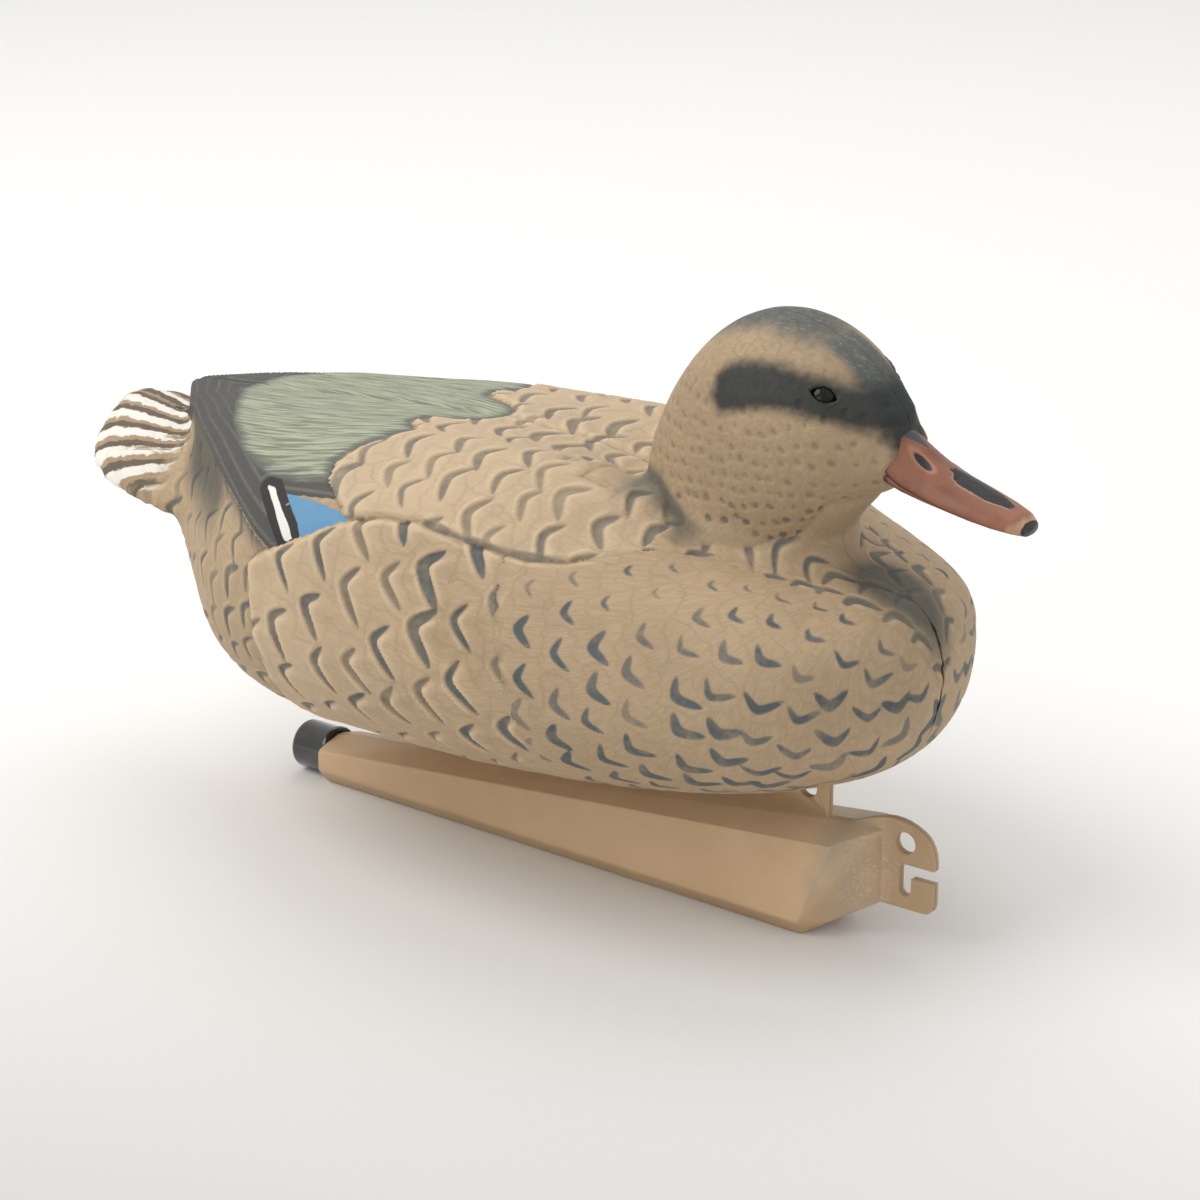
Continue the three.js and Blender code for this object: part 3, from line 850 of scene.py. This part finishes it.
def closeHalf(mesh):
    # a flat wall on the seam plane closes the half
    bm = bmesh.new()
    bm.from_mesh(mesh)
    rim = [e for e in bm.edges if e.is_boundary]
    bmesh.ops.holes_fill(bm, edges=rim, sides=0)
    bmesh.ops.triangulate(bm, faces=[f for f in bm.faces if len(f.verts) > 4])
    bmesh.ops.recalc_face_normals(bm, faces=bm.faces)
    bm.to_mesh(mesh)
    bm.free()


def paintCasing():
    look, tree, shader = material("hand-painted casing", 0.62, 0.32)
    grain = use(tree, "moulded grain", {"Size": 0.9, "Mottle": 34.0})
    where = put(tree, "ShaderNodeTexCoord").outputs["Object"]
    along, across = painted(tree, "along"), painted(tree, "across")
    tone, cavity = painted(tree, "tone"), painted(tree, "cavity")
    turn, tail = painted(tree, "turn"), painted(tree, "tail")
    # engraved hairs run along each feather
    thread = put(tree, "ShaderNodeCombineXYZ", {
        0: times(tree, along, 0.16), 1: times(tree, across, 1.5),
        2: times(tree, tone, 9.0)}).outputs[0]
    hairs = noise(tree, thread, 1.0, 2.0, 0.55)
    wander = noise(tree, where, 260.0, 3.0, 0.6)
    ragged = times(tree, minus(tree, wander, 0.5), 1.5)
    fine = times(tree, minus(tree, hairs, 0.5), 0.9)

    tan = blend(tree, grain["Mottle"], "#ad9678", "#baa283")
    tan = blend(tree, ramp(tree, hairs, 0.35, 0.7, 0.0, 0.28), tan, "#8c7658")
    tan = blend(tree, times(tree, painted(tree, "onHead"), 0.2), tan, "#8a7458")
    tan = blend(tree, times(tree, painted(tree, "pale"), 0.4), tan, "#d8c2a4")
    # painted highlight on the proud relief and painted shade in its recesses
    tan = blend(tree, ramp(tree, cavity, 0.05, 0.45, 0.0, 0.6), tan, "#d3bd9b")
    tan = blend(tree, ramp(tree, cavity, -0.05, -0.6, 0.0, 0.5), tan, "#7c674b")

    # slate strokes, soft at the edge and uneven in strength
    reach = plus(tree, painted(tree, "stroke"),
                 plus(tree, times(tree, ragged, 0.35), times(tree, fine, 0.5)))
    body = ramp(tree, reach, 0.5, -0.6)
    patchy = ramp(tree, noise(tree, where, 120.0, 3.0, 0.65), 0.25, 0.6, 0.55, 1.0)
    stroked = times(tree, times(tree, body, patchy), painted(tree, "ink"))
    slate = blend(tree, grain["Mottle"], "#4b5355", "#5c6363")
    slate = blend(tree, times(tree, painted(tree, "pale"), 0.4), slate, "#7d7566")
    colour = blend(tree, stroked, tan, slate)

    # airbrushed dark paint, and painted shade at the neck's foot and beside the wings
    shadeAndAirbrush = plus(tree, painted(tree, "airbrushAndShade"), times(tree, ragged, 0.12))
    colour = blend(tree, ramp(tree, shadeAndAirbrush, 0.08, 0.8, 0.0, 0.86), colour, "#4b4e4a")

    # folded wing
    slip = times(tree, ragged, 0.35)
    ridge = ramp(tree, painted(tree, "ridge"), 0.12, 0.36)
    dark = blend(tree, times(tree, ridge, 0.35), "#504f4b", "#86847d")
    onWing = ramp(tree, plus(tree, painted(tree, "wing"), slip), -0.2, 0.3)
    colour = blend(tree, onWing, colour, dark)
    x = times(tree, put(tree, "ShaderNodeSeparateXYZ", {0: where}).outputs[0], 1000.0)
    slant = plus(tree, turn, times(tree, x, 0.16))
    barbs = noise(tree, put(tree, "ShaderNodeCombineXYZ", {
        0: times(tree, x, 0.05), 1: times(tree, slant, 1.15), 2: 0.0}).outputs[0], 1.0, 3.0, 0.6)
    sageTone = blend(tree, ramp(tree, barbs, 0.36, 0.62), "#757a66", "#a9ac96")
    sage = plus(tree, painted(tree, "sage"), times(tree, minus(tree, barbs, 0.5), 9.0))
    sageTone = blend(tree, ramp(tree, sage, 1.0, 6.0), "#64665f", sageTone)
    onSage = ramp(tree, plus(tree, painted(tree, "sage"), times(tree, slip, 3.0)), -0.4, 1.6)
    colour = blend(tree, onSage, colour, sageTone)
    blueTone = blend(tree, grain["Mottle"], "#588bb0", "#6896b8")
    colour = blend(tree, ramp(tree, plus(tree, painted(tree, "blue"), slip), -0.2, 0.25), colour, blueTone)
    # a black band each side of the white bar
    bar = plus(tree, painted(tree, "white"), slip)
    colour = blend(tree, ramp(tree, bar, -3.6, -3.1), colour, "#333230")
    colour = blend(tree, ramp(tree, bar, -0.25, 0.15), colour, "#e6e4de")

    # tail fan: broken white and brown strokes along the quills
    quill = plus(tree, painted(tree, "fan"), times(tree, ragged, 0.3))
    wave = calc(tree, "FRACT", quill)
    streak = put(tree, "ShaderNodeCombineXYZ", {
        0: times(tree, tail, 0.055), 1: times(tree, painted(tree, "fan"), 1.6), 2: 3.0}).outputs[0]
    broken = noise(tree, streak, 1.0, 3.0, 0.6)
    tailShare = ramp(tree, plus(tree, tail, times(tree, ragged, 9.0)), 141, 150)
    topSide = ramp(tree, turn, 112, 96)
    brown = times(tree, ramp(tree, calc(tree, "ABSOLUTE", minus(tree, wave, 0.27)), 0.2, 0.12),
                 ramp(tree, broken, 0.3, 0.42))
    chalk = times(tree, ramp(tree, calc(tree, "ABSOLUTE", minus(tree, wave, 0.66)), 0.25, 0.17),
                 ramp(tree, plus(tree, broken, times(tree, minus(tree, tail, 160.0), 0.008)),
                      0.34, 0.42))
    fan = blend(tree, brown, "#a58f73", "#675c4e")
    fan = blend(tree, chalk, fan, "#e9e5db")
    rimOfTail = ramp(tree, plus(tree, tail, times(tree, ragged, 2.0)), 184.5, 187.5, 0.0, 0.75)
    fan = blend(tree, rimOfTail, fan, "#cdb594")
    fan = blend(tree, topSide, "#b39c7c", fan)
    colour = blend(tree, tailShare, colour, fan)

    # head: soft slate stripe and crown, and a plain tan brow
    soft = times(tree, ragged, 1.8)
    stripe = ramp(tree, plus(tree, painted(tree, "stripe"), soft), -2.2, 2.8)
    crown = ramp(tree, plus(tree, painted(tree, "crown"), soft), -2.6, 2.6)
    rubbed = ramp(tree, noise(tree, where, 520.0, 3.0, 0.7), 0.5, 0.72, 0.0, 0.55)
    crownTone = blend(tree, rubbed, "#4d5452", "#8d8f86")
    colour = blend(tree, times(tree, crown, 0.93), colour, crownTone)
    stripeTone = blend(tree, grain["Mottle"], "#25292a", "#303536")
    colour = blend(tree, times(tree, stripe, 0.96), colour, stripeTone)

    proud = ramp(tree, cavity, 0.15, 0.6)
    scuffs = use(tree, "rubbed scuffs", {"Proud": proud, "Amount": 0.55})["Mask"]
    colour = blend(tree, scuffs, colour, "#e3dccd")

    gloss = ramp(tree, grain["Mottle"], 0.0, 1.0, 0.56, 0.68)
    height = plus(tree, times(tree, hairs, 0.8), times(tree, grain["Height"], 0.25))
    finish(tree, shader, colour, gloss, height, 0.5, 0.35)
    return look


def buildCasing():
    fine = fineHalf(outerSkin())
    fine.name = "casing_right"
    dressCasing(fine)
    closeHalf(fine)
    look = paintCasing()
    left = mirroredMesh(fine, "casing_left")
    pieceFrom("casing_right", fine, "decoy", "painted_casing", look, "body_shell_right")
    pieceFrom("casing_left", left, "decoy", "painted_casing", look, "body_shell_left")
    print("casing halves:", len(fine.polygons), "faces each")


# bill: a finer skin over the casing's own bill
bill = {
    "stations": [  # x, top, bottom, half width, height of the widest point, squareness of the ridge
        (131, 176, 160, 5, 168, 1.9), (137, 177, 158.4, 9.4, 165, 1.8), (143, 175.6, 156.8, 11.4, 162.4, 1.7),
        (149, 171.6, 155.4, 12.0, 160.0, 1.6), (157, 166.6, 153.8, 11.7, 157.6, 1.55),
        (165, 163.0, 152.4, 11.3, 155.6, 1.6), (173, 160.0, 151.0, 11.0, 153.8, 1.7),
        (180, 157.2, 149.8, 10.0, 152.4, 1.85), (186, 154.8, 148.9, 7.8, 151.2, 2.1),
        (189.5, 152.6, 148.4, 4.6, 150.4, 2.3), (190.2, 150.4, 150.2, 0.5, 150.3, 2.3)],
    "along": 140, "around": 112,
    "nostril": (155.0, 5.4, 163.6),
    "lip": [(143, 150, 163, 178), (0.04, -0.06, -0.22, -0.4)],  # x, and how far round the lip line runs
}


def buildBill():
    bm = bmesh.new()
    bmesh.ops.create_uvsphere(bm, u_segments=bill["around"], v_segments=bill["along"], radius=1)
    rows = np.array(bill["stations"])
    spread = np.linspace(0, 1, len(rows))
    depth = bm.verts.layers.float.new("lip")
    hole = bm.verts.layers.float.new("nostril")
    nx, ny, nz = bill["nostril"]
    for v in bm.verts:
        t = math.acos(max(-1, min(1, v.co.z))) / math.pi
        x, top, bottom, half, middle, square = (np.interp(t, spread, rows[:, k]) for k in range(6))
        ring = math.hypot(v.co.x, v.co.y)
        across, up = (v.co.x / ring, v.co.y / ring) if ring > 1e-6 else (0, 0)
        power = 2 / (square if up > 0 else 2.4)
        y = math.copysign(abs(across) ** power, across) * half
        rise = abs(up) ** power * (top - middle if up > 0 else middle - bottom)
        z = middle + math.copysign(rise, up)
        # the lip line: the upper half overhangs the lower one
        lip = up - np.interp(x, *bill["lip"])
        inset = 0.95 * math.exp(-((lip + 0.05) / 0.1) ** 2) + 0.45 * (lip < 0)
        pull = inset / max(half, 1) if x < 187 else 0
        y *= 1 - pull
        away = 9
        if z > middle:
            away = math.hypot((x - nx + 0.4 * (z - nz)) / 2.7, (abs(y) - ny) / 1.3)
            sink = 1.2 * math.exp(-away ** 4) - 0.4 * math.exp(-((away - 1.55) / 0.4) ** 2)
            z -= 0.8 * sink
            y -= math.copysign(0.6 * sink, y)
        v[depth] = lip
        v[hole] = away
        v.co = Vector((x, y, z)) * mm
    relax(bm, 0.4, 3)
    bmesh.ops.recalc_face_normals(bm, faces=bm.faces)
    mesh = meshFrom(bm, "bill")
    pieceFrom("bill", mesh, "decoy", "painted_casing", paintBill())
    print("bill:", len(mesh.polygons), "faces")


def paintBill():
    look, tree, shader = material("painted bill", 0.4, 0.45)
    grain = use(tree, "moulded grain", {"Size": 0.6, "Mottle": 9.0})
    where = put(tree, "ShaderNodeTexCoord").outputs["Object"]
    place = put(tree, "ShaderNodeSeparateXYZ", {0: where}).outputs
    x = times(tree, place[0], 1000.0)
    side = calc(tree, "ABSOLUTE", times(tree, place[1], 1000.0))
    ragged = times(tree, minus(tree, noise(tree, where, 330.0, 4.0, 0.65), 0.5), 3.4)
    clay = blend(tree, grain["Mottle"], "#7a4b36", "#8a5842")
    clay = blend(tree, ramp(tree, x, 174, 189, 0.0, 0.5), clay, "#a67255")
    lip = painted(tree, "lip")
    seam = ramp(tree, calc(tree, "ABSOLUTE", plus(tree, lip, 0.04)), 0.12, 0.02, 0.0, 0.85)
    colour = blend(tree, seam, clay, "#43291f")
    # the black saddle beside the ridge, ragged and worn at its edge
    near = plus(tree, x, times(tree, ragged, 1.4))
    wide = times(tree, ramp(tree, near, 160, 166, 0.4, 4.6), ramp(tree, near, 184.5, 175, 0.35, 1.0))
    saddle = minus(tree, plus(tree, wide, times(tree, ragged, 0.55)), side)
    ends = times(tree, ramp(tree, near, 160.5, 162.5), ramp(tree, near, 184.5, 182.5))
    upper = ramp(tree, lip, 0.35, 0.5)
    mask = times(tree, times(tree, ramp(tree, saddle, -0.2, 0.25), ends), upper)
    worn = times(tree, ramp(tree, saddle, -0.9, -0.2), times(tree, ends, upper))
    colour = blend(tree, times(tree, worn, 0.45), colour, "#c9a489")
    colour = blend(tree, mask, colour, "#121110")
    nail = ramp(tree, plus(tree, x, times(tree, ragged, 0.3)), 188.8, 189.2)
    chip = ramp(tree, plus(tree, near, times(tree, side, 0.3)), 187.5, 189.5, 0.0, 0.4)
    colour = blend(tree, chip, colour, "#d9c19a")
    colour = blend(tree, nail, colour, "#26231f")
    hole = painted(tree, "nostril")
    colour = blend(tree, ramp(tree, hole, 1.9, 1.2, 0.0, 0.35), colour, "#c18f74")
    colour = blend(tree, ramp(tree, hole, 1.1, 0.85), colour, "#2a2422")
    # the slate point that runs on from the forehead, and a dark line where the bill leaves the face
    point = plus(tree, x, times(tree, side, 2.0))
    colour = blend(tree, ramp(tree, plus(tree, point, times(tree, ragged, 0.4)), 153.4, 152.2),
                   colour, "#3f4546")
    root = ramp(tree, plus(tree, x, times(tree, ragged, 0.15)), 145.4, 144.2, 0.0, 0.8)
    colour = blend(tree, root, colour, "#3a3431")
    gloss = ramp(tree, grain["Mottle"], 0.0, 1.0, 0.34, 0.48)
    finish(tree, shader, colour, gloss, grain["Height"], 0.25, 0.15)
    return look


# keel: rounded halves, with the web, fin and filling neck
keel = {"softEdge": 1.1, "segments": 3, "angle": 24}


def buildKeel():
    bm = copyOfNode("keel_shell_right")
    bmesh.ops.dissolve_limit(bm, angle_limit=math.radians(1.5), verts=bm.verts, edges=bm.edges)
    long = [e for e in bm.edges if len(e.link_faces) == 2
            and math.degrees(e.calc_face_angle(0)) > keel["angle"]]
    main = [e for e in long if e.calc_length() > 9 * mm and max(v.co.y for v in e.verts) < -4 * mm]
    bmesh.ops.bevel(bm, geom=main, offset=keel["softEdge"] * mm, offset_type="OFFSET",
                    segments=keel["segments"], profile=0.5, affect="EDGES", clamp_overlap=True, material=-1)
    bmesh.ops.triangulate(bm, faces=bm.faces)
    bmesh.ops.recalc_face_normals(bm, faces=bm.faces)
    mesh = meshFrom(bm, "keel_right")
    look = paintKeel()
    left = mirroredMesh(mesh, "keel_left")
    for side, half in (("right", mesh), ("left", left)):
        pieceFrom("keel_" + side, half, "decoy", "keel_plastic", look, "keel_shell_" + side)
        half.set_sharp_from_angle(angle=math.radians(28))
    print("keel halves:", len(mesh.polygons), "faces each")


def paintKeel():
    look, tree, shader = material("keel plastic", 0.5, 0.4)
    grain = use(tree, "moulded grain", {"Size": 0.7, "Mottle": 40.0})
    where = put(tree, "ShaderNodeTexCoord").outputs["Object"]
    place = put(tree, "ShaderNodeSeparateXYZ", {0: where}).outputs
    x, z = (times(tree, place[k], 1000.0) for k in (0, 2))
    ragged = minus(tree, noise(tree, where, 90.0, 4.0, 0.6), 0.5)
    tan = blend(tree, grain["Mottle"], "#c7a782", "#d0b18c")
    low = ramp(tree, plus(tree, z, times(tree, ragged, 4.0)), 7.5, 3.5, 0.0, 0.3)
    tan = blend(tree, low, tan, "#8e7355")
    spray = times(tree, ramp(tree, plus(tree, x, times(tree, ragged, 22.0)), 119, 131),
                 ramp(tree, plus(tree, x, times(tree, ragged, 22.0)), 143, 134))
    colour = blend(tree, times(tree, spray, 0.32), tan, "#7f8583")
    fin = ramp(tree, x, 136, 146, 0.0, 0.45)
    colour = blend(tree, fin, colour, "#8d7559")
    front = ramp(tree, x, 112, 128)
    scuffs = use(tree, "rubbed scuffs", {"Proud": front, "Amount": 0.3})["Mask"]
    colour = blend(tree, scuffs, colour, "#e2dccf")
    gloss = ramp(tree, grain["Mottle"], 0.0, 1.0, 0.44, 0.56)
    finish(tree, shader, colour, gloss, grain["Height"], 0.3, 0.15)
    return look


# keel cap: a soft glossy cup pushed over the filling neck
cap = {"mouthX": -92.3, "height": 9.2, "inner": 7.3, "outer": 9.1, "depth": 14.5, "length": 16.7}


def buildCap():
    outline = [(0, cap["depth"]), (cap["inner"], cap["depth"]), (cap["inner"], 0.5), (cap["inner"] + 0.5, 0)]
    outline += [(cap["outer"] - 0.4, 0), (cap["outer"], 0.5), (cap["outer"], 2.2), (cap["outer"] - 0.25, 2.9)]
    for k in range(7):  # rounded end
        a = math.radians(15 * k)
        outline.append((cap["outer"] - 2.85 + 2.6 * math.cos(a), cap["length"] - 2.6 + 2.4 * math.sin(a)))
    outline.append((3, cap["length"]))
    outline.append((0, cap["length"]))
    bm = bmesh.new()
    points = [bm.verts.new((cap["mouthX"] * mm - h * mm, 0, (cap["height"] + r) * mm)) for r, h in outline]
    edges = [bm.edges.new(pair) for pair in zip(points, points[1:])]
    bmesh.ops.spin(bm, geom=points + edges, cent=(0, 0, cap["height"] * mm), axis=(1, 0, 0),
                   angle=math.tau, steps=96, use_merge=True)
    bmesh.ops.remove_doubles(bm, verts=bm.verts, dist=0.002 * mm)
    bmesh.ops.recalc_face_normals(bm, faces=bm.faces)
    mesh = meshFrom(bm, "keel_cap_soft")
    look, tree, shader = material("black soft plastic", 0.2, 0.6, 0.5, 0.12)
    grain = use(tree, "moulded grain", {"Size": 1.2, "Mottle": 7.0})
    colour = blend(tree, grain["Mottle"], "#1b1a19", "#282726")
    gloss = ramp(tree, grain["Mottle"], 0.0, 1.0, 0.16, 0.28)
    finish(tree, shader, colour, gloss, grain["Height"], 0.15, 0.1)
    pieceFrom("keel_cap_soft", mesh, "cap", "black_cap", look, "keel_cap")
    mesh.set_sharp_from_angle(angle=math.radians(40))
    print("cap made")


def buildEyes():
    look, tree, shader = material("eye black", 0.07, 0.3)
    where = put(tree, "ShaderNodeTexCoord").outputs["Object"]
    colour = blend(tree, ramp(tree, noise(tree, where, 700.0), 0.4, 0.6), "#080707", "#12100e")
    finish(tree, shader, colour)
    ex, ey, ez = casing["eye"]
    bead = casing["beadRadius"]
    for name, node, hand in (("eye_bead_right", "eye_right", 1), ("eye_bead_left", "eye_left", -1)):
        bm = bmesh.new()
        bmesh.ops.create_uvsphere(bm, u_segments=48, v_segments=32, radius=bead * mm)
        bmesh.ops.rotate(bm, matrix=Matrix.Rotation(math.pi / 2, 3, "X"), verts=bm.verts)
        # the pole that faces inwards is drawn out into the stem
        pole = [f for f in bm.faces if f.calc_center_median().y > bead * 0.9 * mm]
        bmesh.ops.dissolve_faces(bm, faces=pole)
        inner = max(bm.faces, key=lambda f: f.calc_center_median().y)
        drawn = bmesh.ops.extrude_face_region(bm, geom=[inner])["geom"]
        bmesh.ops.delete(bm, geom=[inner], context="FACES_ONLY")
        moved = [v for v in drawn if isinstance(v, bmesh.types.BMVert)]
        bmesh.ops.translate(bm, vec=(0, casing["stem"] * mm, 0), verts=moved)
        if hand < 0:
            bmesh.ops.rotate(bm, matrix=Matrix.Rotation(math.pi, 3, "Z"), verts=bm.verts)
        bmesh.ops.translate(bm, vec=Vector((ex, hand * ey, ez)) * mm, verts=bm.verts)
        bmesh.ops.recalc_face_normals(bm, faces=bm.faces)
        mesh = meshFrom(bm, name)
        pieceFrom(name, mesh, "decoy", "eye_black", look, node)
        mesh.set_sharp_from_angle(angle=math.radians(50))
    print("eyes made")


# sand inside the keel keeps its CAD shape
def finishSand():
    look, tree, shader = material("dry sand", 0.95, 0.2)
    where = put(tree, "ShaderNodeTexCoord").outputs["Object"]
    grains = put(tree, "ShaderNodeTexVoronoi", {"Vector": where, "Scale": 1400.0}).outputs
    shade = put(tree, "ShaderNodeSeparateColor", {0: grains["Color"]}).outputs[0]
    colour = blend(tree, shade, "#a98d5e", "#d8c59a")
    finish(tree, shader, colour, None, grains["Distance"], 0.8, 0.4)
    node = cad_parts["sand_ballast"]
    node.data.materials.clear()
    node.data.materials.append(look)


makeGrainGroup()
makeScuffGroup()
setStage()
buildCasing()
buildBill()
buildKeel()
buildCap()
buildEyes()
finishSand()
